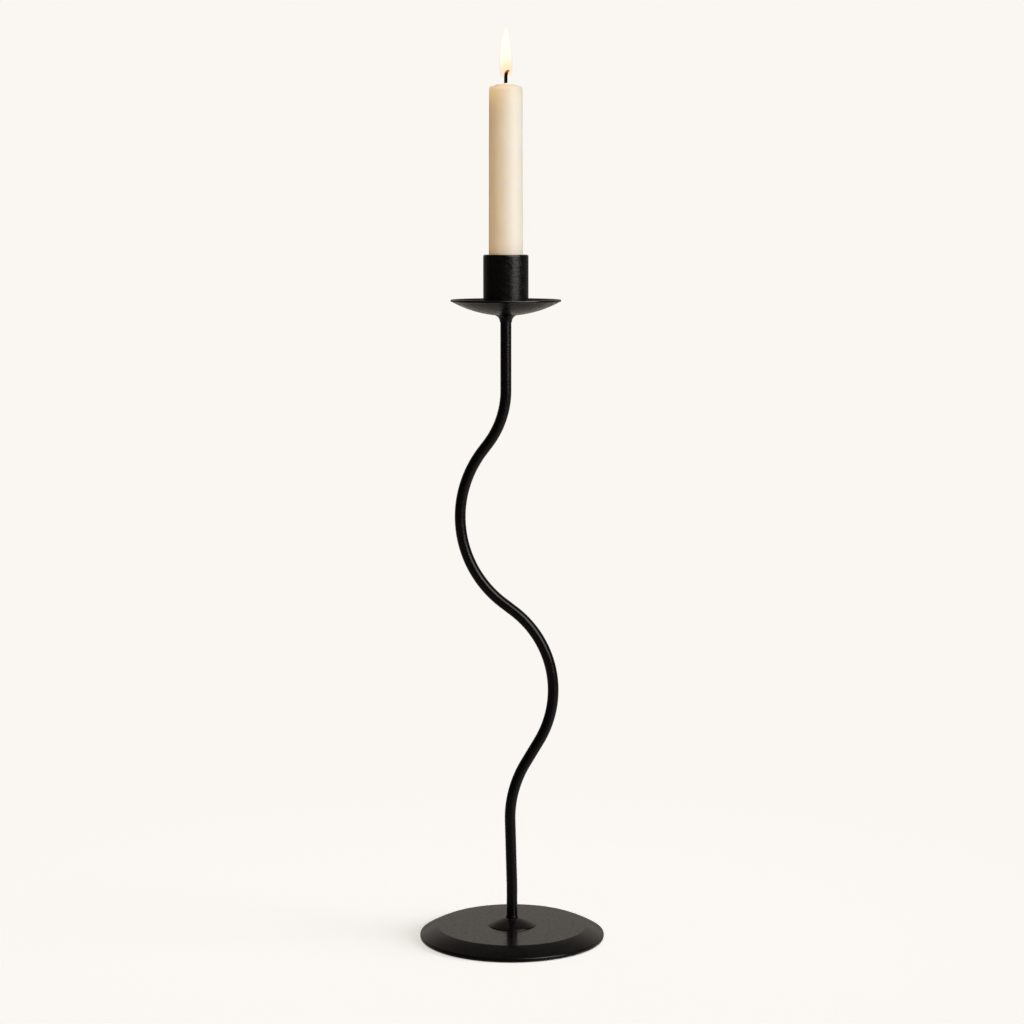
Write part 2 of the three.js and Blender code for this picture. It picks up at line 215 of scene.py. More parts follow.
def powder_coat():
    material, tree, shader, place = finish("black_powder_coat")
    up = axes(tree, add(tree, "ShaderNodeNewGeometry").outputs["Normal"])["Z"]
    grain_left = between(tree, up, 0.02, 0.3, 1.0, COAT_LEVELLED)

    black = ramp(tree, noise(tree, place, COAT_CLOUD, 4, 0.6), (0.3, COAT_DARK), (0.7, COAT_PALE))
    specks = between(tree, noise(tree, place, COAT_SPECKS, 4, 0.65), 0.46, 0.58)
    dusty = product(tree, between(tree, up, 0.75, 1.0), specks)

    patch = noise(tree, place, COAT_PATCH, 3, 0.6)
    drift = between(tree, patch, 0.38, 0.62, -GLOSS_DRIFT, GLOSS_DRIFT)
    drift_on_flats = product(tree, drift, between(tree, up, 0.9, 0.99))
    flats = sums(tree, "ADD", drift_on_flats, FLAT_ROUGHNESS)
    sides = sums(tree, "ADD", drift, SIDE_ROUGHNESS)
    fill(tree, shader, {"Base Color": mix(tree, dusty, black, COAT_DUST),
                        "Roughness": mix(tree, grain_left, flats, sides, "FLOAT")})

    cells = add(tree, "ShaderNodeTexVoronoi",
                {"Vector": place, "Scale": COAT_GRAIN, "Smoothness": 0.5, "Randomness": 0.85},
                feature="SMOOTH_F1").outputs["Distance"]
    coarse = relief(tree, shader, cells, COAT_GRAIN_HEIGHT, grain_left)
    relief(tree, shader, noise(tree, place, COAT_FINE_GRAIN, 2, 0.6), COAT_FINE_HEIGHT, under=coarse)
    return material


coat = powder_coat()

# %% [markdown]
# ## Wax
# Candle wax lets light in and spreads it, red furthest, so its dark side stays warm and its edges glow.
# Subsurface scattering does that. A dipped candle is nearly smooth, with faint long ripples down its side
# and a cloudy variation in its ivory.
#
# Its colour also holds painted light and shade: painted shade just above the cup and at the right of its
# crown, and painted flame light towards the top, both as a warmer colour and as a glow in the emission, most
# on the left, round a small brighter painted glow at the wick. Map Range nodes on the height and the way
# across place these on the candle, so that they rise with it.

# %% Wax
WAX_CLOUD, WAX_RIPPLES, WAX_GRAIN = 45.0, 160.0, 900.0
WAX_RIPPLE_HEIGHT, WAX_GRAIN_HEIGHT = 0.08 * MM, 0.005 * MM
WAX_DEPTH = 3 * MM
WAX_DARK, WAX_PALE = (0.865, 0.80, 0.71), (0.88, 0.825, 0.74)
# Painted flame light: a warmer colour towards the top of the candle.
PAINTED_FLAME_TINT, FLAME_TINT_REACH, FLAME_TINT_SHARE = (0.88, 0.76, 0.61, 1), 30 * MM, 0.35
# Painted shade: darker just above the cup's mouth, and at the right of the crown.
PAINTED_SHADE_COLOUR, PAINTED_SHADE_SHARE, CUP_SHADE_REACH = (0.42, 0.34, 0.25, 1), 0.38, 12 * MM
# Painted shade at the right of the crown.
CROWN_SHADE_SHARE, CROWN_SHADE_REACH = 0.37, 9 * MM
# Painted flame light: a glow in the emission near the top, most on the left.
PAINTED_FLAME_GLOW, PAINTED_GLOW_REACH = (0.34, 0.225, 0.11), 20 * MM
# Painted light: a brighter glow in the emission round the wick's foot.
PAINTED_WICK_GLOW, WICK_GLOW_RADIUS = (0.42, 0.27, 0.13, 1), 2.2 * MM


def ivory_wax():
    material, tree, shader, place = finish("ivory_wax")
    low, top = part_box("candle")
    middle = Vector(((low.x + top.x) / 2, 0, top.z))
    across, _, height = axes(tree, place)
    side = sums(tree, "SUBTRACT", across, middle.x)

    cloud = noise(tree, place, WAX_CLOUD, 3, 0.55)
    ivory = ramp(tree, cloud, (0.35, WAX_DARK), (0.65, WAX_PALE))
    # Painted flame light: the ivory turns warmer towards the top.
    flame_tinted = mix(tree, between(tree, height, top.z - FLAME_TINT_REACH, top.z, 0, FLAME_TINT_SHARE), ivory, PAINTED_FLAME_TINT)
    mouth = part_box("candle_cup")[1].z
    # Painted shade: the colour darkens just above the cup's mouth.
    cup_shade = product(tree, between(tree, height, mouth - 4 * MM, mouth - 1 * MM),
                   sums(tree, "POWER", between(tree, height, mouth - 1 * MM, mouth + CUP_SHADE_REACH, 1, 0), 2.5))
    # Painted shade: the right of the crown is darker.
    crown_shade = product(tree, between(tree, height, top.z - CROWN_SHADE_REACH, top.z - 2.5 * MM, 0, CROWN_SHADE_SHARE),
                    between(tree, side, -6 * MM, 2 * MM))
    # Both painted shades darken the colour by one share.
    painted_shade = product(tree, sums(tree, "MAXIMUM", cup_shade, crown_shade), PAINTED_SHADE_SHARE)

    # Painted flame light: the emission glows towards the top, most on the left, and fades just below the
    # crown's top.
    painted_glow_share = product(tree, sums(tree, "POWER", between(tree, height, top.z - PAINTED_GLOW_REACH, top.z), 1.8),
                  between(tree, side, -9 * MM, 7 * MM, 1.0, 0.08),
                  between(tree, height, top.z - 2.7 * MM, top.z - 1.6 * MM, 1.0, 0.05))
    # Painted light: a brighter glow round the wick's foot.
    away = add(tree, "ShaderNodeVectorMath", {0: place, 1: middle}, operation="DISTANCE").outputs["Value"]
    wick_glow_share = between(tree, away, 1.0 * MM, WICK_GLOW_RADIUS, 1, 0)
    glow = mix(tree, wick_glow_share, ramp(tree, painted_glow_share, (0.0, (0, 0, 0)), (1.0, PAINTED_FLAME_GLOW)), PAINTED_WICK_GLOW)

    fill(tree, shader, {
        "Base Color": mix(tree, painted_shade, flame_tinted, PAINTED_SHADE_COLOUR),
        "Roughness": between(tree, cloud, 0.3, 0.7, 0.34, 0.46),
        "Subsurface Weight": 0.4, "Subsurface Radius": (1.0, 0.5, 0.22), "Subsurface Scale": WAX_DEPTH,
        "IOR": 1.44, "Emission Color": glow, "Emission Strength": 1.0,
    })
    stretched = add(tree, "ShaderNodeMapping", {"Vector": place, "Scale": (1, 1, 0.12)}).outputs[0]
    ripples = relief(tree, shader, noise(tree, stretched, WAX_RIPPLES, 2, 0.5), WAX_RIPPLE_HEIGHT)
    relief(tree, shader, noise(tree, place, WAX_GRAIN, 2, 0.6), WAX_GRAIN_HEIGHT, under=ripples)
    return material


wax = ivory_wax()

# %% [markdown]
# ## Small finishes: zinc, felt and wick
# The screws and washers are bright zinc plate over steel, with fine scratches round their axis. The felt is
# pressed wool, matt and fibrous. The wick is cotton: pale inside the wax, charred black above it, and
# still glowing at its very tip.

# %% Zinc
ZINC_BLUE, ZINC_GREY = (0.52, 0.54, 0.58), (0.66, 0.66, 0.62)
ZINC_CLOUD, ZINC_SCRATCHES, SCRATCH_DEPTH = 600.0, 900.0, 0.004 * MM


def zinc_plate():
    material, tree, shader, place = finish("zinc_plate")
    cloud = noise(tree, place, ZINC_CLOUD, 3, 0.6)
    flattened = add(tree, "ShaderNodeMapping", {"Vector": place, "Scale": (1, 1, 14)}).outputs[0]
    scratches = noise(tree, flattened, ZINC_SCRATCHES, 3, 0.7)
    fill(tree, shader, {"Metallic": 1.0,
                        "Base Color": ramp(tree, cloud, (0.35, ZINC_BLUE), (0.65, ZINC_GREY)),
                        "Roughness": between(tree, scratches, 0.3, 0.7, 0.22, 0.42)})
    relief(tree, shader, scratches, SCRATCH_DEPTH)
    return material


zinc = zinc_plate()

# %% Felt
FELT_DARK, FELT_PALE = (0.012, 0.012, 0.011), (0.036, 0.034, 0.031)
FELT_FIBRES, FELT_BLOTCHES, FIBRE_HEIGHT = 2600.0, 130.0, 0.12 * MM


def pressed_felt():
    material, tree, shader, place = finish("pressed_felt")
    fibres = noise(tree, place, FELT_FIBRES, 4, 0.75)
    blotches = noise(tree, place, FELT_BLOTCHES, 2, 0.5)
    both = sums(tree, "ADD", product(tree, fibres, 0.6), product(tree, blotches, 0.4))
    fill(tree, shader, {"Base Color": ramp(tree, both, (0.35, FELT_DARK), (0.65, FELT_PALE)),
                        "Roughness": 0.95, "Sheen Weight": 0.35, "Sheen Roughness": 0.6})
    relief(tree, shader, fibres, FIBRE_HEIGHT)
    return material


felt = pressed_felt()

# %% Wick
COTTON_DARK, COTTON_PALE = (0.62, 0.55, 0.43), (0.80, 0.74, 0.62)
CHAR_DARK, CHAR_PALE, CHAR_START = (0.016, 0.006, 0.002), (0.040, 0.019, 0.009), 0.6 * MM
EMBER_DULL, EMBER_BRIGHT, EMBER_LENGTH = (0.25, 0.03, 0.003), (0.62, 0.14, 0.02), 2.6 * MM
LINT, LINT_HEIGHT = 3500.0, 0.08 * MM


def wick_cotton():
    material, tree, shader, place = finish("wick_cotton")
    crown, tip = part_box("candle")[1].z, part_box("wick")[1].z
    height = axes(tree, place)["Z"]
    lint = noise(tree, place, LINT, 3, 0.7)
    ragged = sums(tree, "ADD", height, product(tree, lint, 0.4 * MM))
    charred = between(tree, ragged, crown - CHAR_START, crown + CHAR_START)
    cotton = ramp(tree, lint, (0.3, COTTON_DARK), (0.7, COTTON_PALE))
    char = ramp(tree, lint, (0.35, CHAR_DARK), (0.7, CHAR_PALE))
    ember = between(tree, height, tip - EMBER_LENGTH, tip - 0.3 * EMBER_LENGTH)
    glow = ramp(tree, ember, (0.0, (0, 0, 0)), (0.5, EMBER_DULL), (1.0, EMBER_BRIGHT))
    fill(tree, shader, {"Base Color": mix(tree, charred, cotton, char), "Roughness": 0.9,
                        "Specular IOR Level": 0.1, "Emission Color": glow, "Emission Strength": 1.0})
    relief(tree, shader, lint, LINT_HEIGHT)
    return material


wick_finish = wick_cotton()

# %% [markdown]
# ## Turned pieces
# The base, the pan, the cup, the ferrule, the washers and the candle are all turned: one outline swept once
# round an axis. The outline is a list of corners, each with the radius of its fillet, and a helper rounds
# them. Beside each fillet it adds a point on the straight, so that smooth shading doesn't bleed from the
# fillet over the flat next to it. HOLD is that point's distance, as a share of the fillet.

# %% Outline helpers
HOLD = 0.35


def box_in_mm(node):
    """The low and the high corner of a CAD node's box."""
    return [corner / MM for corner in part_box(node)]


def rounded(corners, steps=6):
    """A closed outline of (radius, height) points from (radius, height, fillet) corners, in millimetres."""
    outline = []
    for index, (radius, height, fillet) in enumerate(corners):
        here = Vector((radius, height))
        if not fillet:
            outline.append(here)
            continue
        back = (Vector(corners[index - 1][:2]) - here).normalized()
        on = (Vector(corners[(index + 1) % len(corners)][:2]) - here).normalized()
        half = back.angle(on) / 2
        reach = fillet / math.tan(half)
        centre = here + (back + on).normalized() * fillet / math.sin(half)
        start = here + back * reach - centre
        end = here + on * reach - centre
        outline.append(here + back * (reach + HOLD * fillet))
        outline += [centre + fillet * start.slerp(end, step / steps) for step in range(steps + 1)]
        outline.append(here + on * (reach + HOLD * fillet))
    return outline


def arc(centre, radius, start, end, steps):
    """Points on an arc; angles in radians, anticlockwise from +X."""
    angles = (start + (end - start) * step / steps for step in range(steps + 1))
    return [Vector(centre) + radius * Vector((math.cos(a), math.sin(a))) for a in angles]


def curve(handles, steps):
    """Points on the Bezier curve of these handles, both ends included."""
    last = len(handles) - 1
    points = []
    for step in range(steps + 1):
        t = step / steps
        shares = [math.comb(last, k) * (1 - t) ** (last - k) * t ** k for k in range(last + 1)]
        points.append(sum((share * Vector(handle) for share, handle in zip(shares, handles)), Vector((0, 0))))
    return points


def swell(start, end, bulge, steps):
    """A curve from start to end that swells upwards over the straight line."""
    return curve([start, (Vector(start) + Vector(end)) / 2 + Vector((0, bulge)), end], steps)


def plain(points):
    """Points as corners without a fillet."""
    return [(point.x, point.y, 0) for point in points]

# %% Turning helper
def link(name, mesh, material):
    """A new object in the scene, with one material."""
    piece = bpy.data.objects.new(name, mesh)
    bpy.context.scene.collection.objects.link(piece)
    mesh.materials.clear()
    mesh.materials.append(material)
    return piece


def close_poles(mesh):
    """Merges the points that lie on the axis, and turns every face outwards."""
    welded = bmesh.new()
    welded.from_mesh(mesh)
    bmesh.ops.remove_doubles(welded, verts=welded.verts, dist=1e-8)
    bmesh.ops.recalc_face_normals(welded, faces=welded.faces)
    welded.to_mesh(mesh)
    welded.free()


def turned(name, outline, material, axis_x=0.0, base_z=0.0, segments=256, sharp=32, shape=None):
    """Turns a closed outline, in millimetres, about an upright axis. shape may move each point."""
    count = len(outline)
    vertices = []
    for step in range(segments):
        angle = 2 * math.pi * step / segments
        for radius, height in outline:
            if shape:
                radius, height = shape(radius, height, angle)
            vertices.append((axis_x + radius * math.cos(angle) * MM,
                             radius * math.sin(angle) * MM, base_z + height * MM))
    faces = []
    for step in range(segments):
        here, there = step * count, (step + 1) % segments * count
        for index in range(count):
            after = (index + 1) % count
            faces.append((here + index, there + index, there + after, here + after))
    mesh = bpy.data.meshes.new(name)
    mesh.from_pydata(vertices, [], faces)
    close_poles(mesh)
    mesh.shade_smooth()
    mesh.set_sharp_from_angle(angle=math.radians(sharp))
    piece = link(name, mesh, material)
    print(name + ":", len(mesh.polygons), "faces,", len(outline), "points in its outline")
    return piece


def stands_for(piece, body, slot, *nodes):
    """Says which CAD nodes a piece stands for and the body it rides on. slot is not used."""
    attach(piece, body)
    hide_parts(*nodes)

# %% [markdown]
# ## The base
# It is one heavy disc, turned from steel: a thin upright rim, a bevel that swells slightly, a flat top and
# a low domed boss that takes the rod. The boss ends in a small upright edge, rounded over into the dome,
# that catches a fine line of light. Underneath there is a recess for the felt and a counterbore for the
# screw.

# %% Base
SOCKET_RADIUS, SOCKET_DEPTH, WEB = 3.75, 5.0, 3.0
SCREW_HOLE, COUNTERBORE_RADIUS = 2.25, 6.4
BOSS_RADIUS, BOSS_EDGE, BOSS_HEIGHT, BOSS_LAND, BOSS_BULGE = 16.3, 0.35, 5.05, 0.5, 0.95
FLAT_RADIUS, BEVEL_BULGE, RIM_HEIGHT = 49.8, 0.7, 2.0
RECESS_MARGIN, RECESS_TOP, FELT_CLEARANCE = 4.5, 1.4, 0.3


def make_base():
    low, high = box_in_mm("base_plate")
    edge, rim_bottom, boss_top = high.x, low.z, high.z
    flat, rim_top = boss_top - BOSS_HEIGHT, rim_bottom + RIM_HEIGHT
    socket_floor = boss_top - SOCKET_DEPTH
    ceiling = socket_floor - WEB
    land = SOCKET_RADIUS + BOSS_LAND
    recess = edge - RECESS_MARGIN
    bevel = swell((edge, rim_top), (FLAT_RADIUS, flat), BEVEL_BULGE, 16)[1:-2]
    dome = swell((BOSS_RADIUS, flat + BOSS_EDGE), (land, boss_top), BOSS_BULGE, 20)[3:-1]
    corners = [(SCREW_HOLE, ceiling, 0), (COUNTERBORE_RADIUS, ceiling, 0),
               (COUNTERBORE_RADIUS, RECESS_TOP, 0.2), (recess, RECESS_TOP, 0),
               (recess, rim_bottom, 0.15), (edge, rim_bottom, 0.4), (edge, rim_top, 0.9)]
    corners += plain(bevel)
    corners += [(FLAT_RADIUS, flat, 1.8), (BOSS_RADIUS, flat, 0.08), (BOSS_RADIUS, flat + BOSS_EDGE, 0.5)]
    corners += plain(dome)
    corners += [(land, boss_top, 0.12), (SOCKET_RADIUS, boss_top, 0),
                (SOCKET_RADIUS, socket_floor, 0), (SCREW_HOLE, socket_floor, 0)]
    return turned("base", rounded(corners), coat, segments=320)


stands_for(make_base(), "holder", "black_coat", "base_plate")

# %% [markdown]
# ## Felt ring and foot ring
# The felt is a cut ring, a little softer at its edges, that stands just proud of the rim. The thin
# half-round ring at the rod's foot hides the joint with the boss.

# %% Felt and foot ring
def make_felt():
    low, high = box_in_mm("base_felt")
    inner = COUNTERBORE_RADIUS + FELT_CLEARANCE
    corners = [(inner, low.z, 0.3), (high.x, low.z, 0.3), (high.x, high.z, 0), (inner, high.z, 0)]
    return turned("felt", rounded(corners, 4), felt, segments=192)


def make_foot_ring():
    low, high = box_in_mm("foot_ring")
    middle = (low.z + high.z) / 2
    half = (high.z - low.z) / 2
    crown = (high.x + SOCKET_RADIUS) / 2
    bulge = [Vector((crown + (high.x - crown) * math.cos(a), middle + half * math.sin(a)))
             for a in (math.pi * (step / 12 - 0.5) for step in range(13))]
    corners = plain([Vector((SOCKET_RADIUS, low.z))] + bulge + [Vector((SOCKET_RADIUS, high.z))])
    return turned("rod_foot_ring", rounded(corners), coat, segments=96, sharp=50)


stands_for(make_felt(), "holder", "felt", "base_felt")
stands_for(make_foot_ring(), "holder", "black_coat", "foot_ring")

# %% [markdown]
# ## The bent rod
# A bending shop makes this rod from a schedule: so much straight, then a bend of such a radius through such
# an angle, and so on. Geometry Nodes can follow the same schedule. Along a row of points the heading is the
# sum of the bends passed so far, one Map Range for each, and Accumulate Field adds the small steps taken on
# each heading, which gives the centre line. A circle swept along it gives the rod. So the shape comes
# from sixteen lengths and angles, and any of them can be changed.

# %% Geometry Nodes helpers
def new_tree(name, **sizes):
    """A Geometry Nodes tree with named number inputs and a geometry output."""
    tree = bpy.data.node_groups.new(name, "GeometryNodeTree")
    tree.interface.new_socket(name="Geometry", in_out="OUTPUT", socket_type="NodeSocketGeometry")
    for label, value in sizes.items():
        kind = "NodeSocketInt" if isinstance(value, int) else "NodeSocketFloat"
        socket = tree.interface.new_socket(name=label, in_out="INPUT", socket_type=kind)
        socket.default_value = value
    given = tree.nodes.new("NodeGroupInput")
    return tree, {label: given.outputs[label] for label in sizes}


def close_tree(tree, geometry, material):
    """Ends a tree with Realize Instances and Set Material."""
    real = add(tree, "GeometryNodeRealizeInstances", {0: geometry})
    dressed = add(tree, "GeometryNodeSetMaterial", {"Geometry": real, "Material": material})
    smooth = add(tree, "GeometryNodeSetShadeSmooth", {"Geometry": dressed})
    add(tree, "NodeGroupOutput", {0: smooth})


def grown(name, tree, material, **sizes):
    """Runs a tree with these sizes and keeps its result as a plain mesh object."""
    piece = link(name, bpy.data.meshes.new(name), material)
    modifier = piece.modifiers.new("nodes", "NODES")
    modifier.node_group = tree
    for socket in tree.interface.items_tree:
        if socket.in_out == "INPUT" and socket.name in sizes:
            modifier[socket.identifier] = sizes[socket.name]
    depsgraph = bpy.context.evaluated_depsgraph_get()
    mesh = bpy.data.meshes.new_from_object(piece.evaluated_get(depsgraph))
    piece.modifiers.clear()
    piece.data = mesh
    mesh.materials.clear()
    mesh.materials.append(material)
    print(name + ":", len(mesh.polygons), "faces from", tree.name)
    return piece

# %% Path helpers
def row_of_points(tree, count):
    """A row of points that all lie at the origin, and each point's number."""
    row = add(tree, "GeometryNodeMeshLine", {"Count": count, "Offset": (0, 0, 0)}, mode="OFFSET")
    return row, add(tree, "GeometryNodeInputIndex")


def path_through(tree, row, spots):
    """Moves the points of a row to their spots and joins them to a path."""
    placed = add(tree, "GeometryNodeSetPosition", {"Geometry": row, "Position": spots})
    return add(tree, "GeometryNodeMeshToCurve", {0: placed})


def swept(tree, path, sides, radius):
    """Sweeps a circle along a path and closes both ends."""
    section = add(tree, "GeometryNodeCurvePrimitiveCircle", {"Resolution": sides, "Radius": radius})
    return add(tree, "GeometryNodeCurveToMesh", {"Curve": path, "Profile Curve": section, "Fill Caps": True})

# %% Rod tree
ROD_RADIUS, ROD_SIDES = 3.6 * MM, 48
FOOT_RUN, TOP_RUN = 19.2 * MM, 47.74 * MM
# Each bend's radius, its turn in degrees and the straight run after it.
BENDS = {
    "sway": (475 * MM, -1.6, 38 * MM),
    "lower": (73 * MM, 32.4, 17.2 * MM),
    "middle": (67 * MM, -83.4, 8.5 * MM),
    "upper": (72 * MM, 89.9, 5.7 * MM),
    "neck": (58 * MM, -37.3, TOP_RUN),
}


def schedule():
    """The rod's sizes, with its length and where each bend starts and ends along it."""
    sizes = {"radius": ROD_RADIUS, "foot height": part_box("stem")[0].z, "points": 2400, "rings": 520}
    along = FOOT_RUN
    for bend, (radius, turn, run_after) in BENDS.items():
        reach = radius * abs(math.radians(turn))
        sizes[bend + " start"] = along
        sizes[bend + " end"] = along + reach
        sizes[bend + " turn"] = math.radians(turn)
        along += reach + run_after
    sizes["length"] = along
    return sizes


def rod_tree(sizes):
    """Each bend has a start and an end along the rod, and a turn between them."""
    tree, given = new_tree("bent_rod", **sizes)
    row, number = row_of_points(tree, given["points"])
    step = sums(tree, "DIVIDE", given["length"], sums(tree, "SUBTRACT", given["points"], 1))
    along = product(tree, sums(tree, "ADD", number, 0.5), step)
    heading = 0.0
    for bend in BENDS:
        start, end, turn = (given[bend + part] for part in (" start", " end", " turn"))
        heading = sums(tree, "ADD", heading, between(tree, along, start, end, 0.0, turn))
    stride = add(tree, "ShaderNodeCombineXYZ", {"X": product(tree, step, sums(tree, "SINE", heading)),
                                                "Z": product(tree, step, sums(tree, "COSINE", heading))})
    walked = add(tree, "GeometryNodeAccumulateField", {0: stride}, data_type="FLOAT_VECTOR")
    foot = add(tree, "ShaderNodeCombineXYZ", {"Z": given["foot height"]})
    spots = add(tree, "ShaderNodeVectorMath", {0: walked.outputs["Trailing"], 1: foot}, operation="ADD")
    path = path_through(tree, row, spots)
    even = add(tree, "GeometryNodeResampleCurve", {"Curve": path, "Count": given["rings"]})
    close_tree(tree, swept(tree, even, ROD_SIDES, given["radius"]), coat)
    return tree

# %% Grow the rod and drill its ends
TAP_DEPTHS = (12 * MM, 12.6 * MM)


def drill_ends(rod):
    """Sinks a tapped hole into each flat end of the rod."""
    mesh = bmesh.new()
    mesh.from_mesh(rod.data)
    bmesh.ops.remove_doubles(mesh, verts=mesh.verts, dist=1e-7)
    ends = [face for face in mesh.faces if len(face.verts) > 8]
    ends.sort(key=lambda face: face.calc_center_median().z)
    for end, depth in zip(ends, TAP_DEPTHS):
        inward = -end.normal.copy()
        bmesh.ops.inset_region(mesh, faces=[end], thickness=ROD_RADIUS - SCREW_HOLE * MM)
        sunk = bmesh.ops.extrude_face_region(mesh, geom=[end])["geom"]
        ring = [item for item in sunk if isinstance(item, bmesh.types.BMVert)]
        bmesh.ops.translate(mesh, vec=inward * depth, verts=ring)
        bmesh.ops.delete(mesh, geom=[end], context="FACES_ONLY")
    mesh.to_mesh(rod.data)
    mesh.free()
    rod.data.set_sharp_from_angle(angle=math.radians(50))


rod_sizes = schedule()
rod = grown("rod", rod_tree(rod_sizes), coat)
drill_ends(rod)
stands_for(rod, "holder", "black_coat", "stem")
ROD_TOP = box_in_mm("stem")[1].z
reached = max(vertex.co.z for vertex in rod.data.vertices)
print(f"rod: {rod_sizes['length'] / MM:.2f} mm long, top at {reached / MM:.3f} mm, CAD {ROD_TOP:.3f} mm")

# %% [markdown]
# ## Ferrule and drip pan
# The ferrule flares like a small trumpet from the rod to the underside of the pan. The pan is spun from
# sheet: two arcs about one centre, with a thicker bead rolled round its lip.

# %% Ferrule
DISH_RADIUS, PAN_SHEET, LIP_RADIUS = 73.0, 1.2, 0.8
FERRULE_EDGE, FERRULE_WEB, PAINT_FILM = 0.2, 0.8, 0.06
PAN_SEAT = ROD_TOP + 2 * PAINT_FILM + FERRULE_WEB
pan_low, pan_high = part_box("drip_pan")
AXIS = (pan_low.x + pan_high.x) / 2


def make_ferrule():
    low, high = box_in_mm("pan_ferrule")
    reach = (high.x - low.x) / 2
    web_under = ROD_TOP + PAINT_FILM
    edge = SOCKET_RADIUS + FERRULE_EDGE
    arc_radius = DISH_RADIUS + PAINT_FILM
    centre = web_under + FERRULE_WEB + arc_radius
    rise = centre - math.sqrt(arc_radius ** 2 - reach ** 2)
    flare = curve([(edge, low.z), (edge, web_under - (web_under - low.z) / 3),
                   (edge + (reach - edge) / 3, web_under + (rise - web_under) / 3), (reach, rise)], 24)
    top = arc((0, centre), arc_radius, math.asin(reach / arc_radius) - math.pi / 2,
              math.asin(SCREW_HOLE / arc_radius) - math.pi / 2, 10)
    corners = [(SCREW_HOLE, web_under, 0), (SOCKET_RADIUS, web_under, 0), (SOCKET_RADIUS, low.z, 0)]
    corners += plain(flare[:-1]) + [(reach, rise, 0.12)] + plain(top[1:])
    return turned("ferrule", rounded(corners), coat, axis_x=AXIS, segments=128, sharp=40)


stands_for(make_ferrule(), "holder", "black_coat", "pan_ferrule")

# %% Drip pan
def make_pan():
    edge = (pan_high.x - pan_low.x) / 2 / MM
    inside, middle = DISH_RADIUS - PAN_SHEET, DISH_RADIUS - PAN_SHEET / 2
    centre = Vector((0, PAN_SEAT + DISH_RADIUS))
    lip_angle = math.asin((edge - LIP_RADIUS) / middle)
    lip = centre + middle * Vector((math.sin(lip_angle), -math.cos(lip_angle)))

    def meets(radius):
        """The angles, about the dish and about the bead, where an arc runs into the bead."""
        spread = math.acos((radius ** 2 + middle ** 2 - LIP_RADIUS ** 2) / (2 * radius * middle))
        angle = lip_angle - spread
        point = centre + radius * Vector((math.sin(angle), -math.cos(angle))) - lip
        return angle - math.pi / 2, math.atan2(point.y, point.x)

    under, bead_start = meets(DISH_RADIUS)
    over, bead_end = meets(inside)
    outline = arc(centre, DISH_RADIUS, math.asin(SCREW_HOLE / DISH_RADIUS) - math.pi / 2, under, 48)
    outline += arc(lip, LIP_RADIUS, bead_start, bead_end % (2 * math.pi), 16)[1:-1]
    outline += arc(centre, inside, over, math.asin(SCREW_HOLE / inside) - math.pi / 2, 48)
    return turned("pan", outline, coat, axis_x=AXIS, segments=288, sharp=60)


stands_for(make_pan(), "holder", "black_coat", "drip_pan")

# %% [markdown]
# ## The cup
# A straight turned cup, about three millimetres thick. Its foot follows the dish of the pan. Inside, the
# candle stands on a ledge, and the screw and its washer lie in a pocket below it.

# %% Cup
CUP_WALL, CUP_WEB, CUP_LEDGE = 3.15, 2.2, 6.1


def make_cup():
    low, high = box_in_mm("candle_cup")
    edge = (high.x - low.x) / 2
    bore = edge - CUP_WALL
    seat = PAN_SEAT + PAN_SHEET
    centre = seat + DISH_RADIUS - PAN_SHEET
    radius = DISH_RADIUS - PAN_SHEET - PAINT_FILM
    foot = arc((0, centre), radius, math.asin(SCREW_HOLE / radius) - math.pi / 2,
               math.asin(edge / radius) - math.pi / 2, 16)
    corners = plain(foot[:-1])
    corners += [(*foot[-1], 0.15), (edge, high.z, 1.1), (bore, high.z, 0.9),
                (bore, seat + CUP_LEDGE, 0), (COUNTERBORE_RADIUS, seat + CUP_LEDGE, 0.3),
                (COUNTERBORE_RADIUS, seat + CUP_WEB, 0), (SCREW_HOLE, seat + CUP_WEB, 0)]
    return turned("cup", rounded(corners, 8), coat, axis_x=AXIS, segments=224)


stands_for(make_cup(), "holder", "black_coat", "candle_cup")

# %% [markdown]
# ## Screws and washers
# Two equal screws clamp the holder together. Each has a low round head with a hexagon pocket, and a real
# thread: a small tree of Geometry Nodes sweeps a pointed section along a spiral, over a plain core. The head
# is turned like the other pieces, but its pocket's ring of points is pushed out to a hexagon.

# %% Thread tree
def thread_tree():
    tree, given = new_tree("screw_thread", pitch=0.7 * MM, radius=1.62 * MM, depth=0.36 * MM, length=12 * MM)
    turns = sums(tree, "DIVIDE", given["length"], given["pitch"])
    spiral = add(tree, "GeometryNodeCurveSpiral", {
        "Resolution": 28, "Rotations": turns, "Start Radius": given["radius"], "End Radius": given["radius"],
        "Height": given["length"]})
    close_tree(tree, swept(tree, spiral, 3, given["depth"]), zinc)
    return tree

# %% Screw
HEAD_RADIUS, HEAD_HEIGHT, SHANK_RADIUS, SCREW_LENGTH = 3.8, 2.2, 1.7, 14.0
HEX_REACH, HEX_DEPTH = 1.25, 1.3


def hexagon(radius, height, angle):
    """Pushes the pocket's points out to a hexagon; the others stay."""
    if not HEX_REACH * 0.5 < radius < HEX_REACH * 1.01 or height < HEAD_HEIGHT - HEX_DEPTH - 0.01:
        return radius, height
    corner = math.pi / 3
    return radius / math.cos((angle + corner / 2) % corner - corner / 2), height


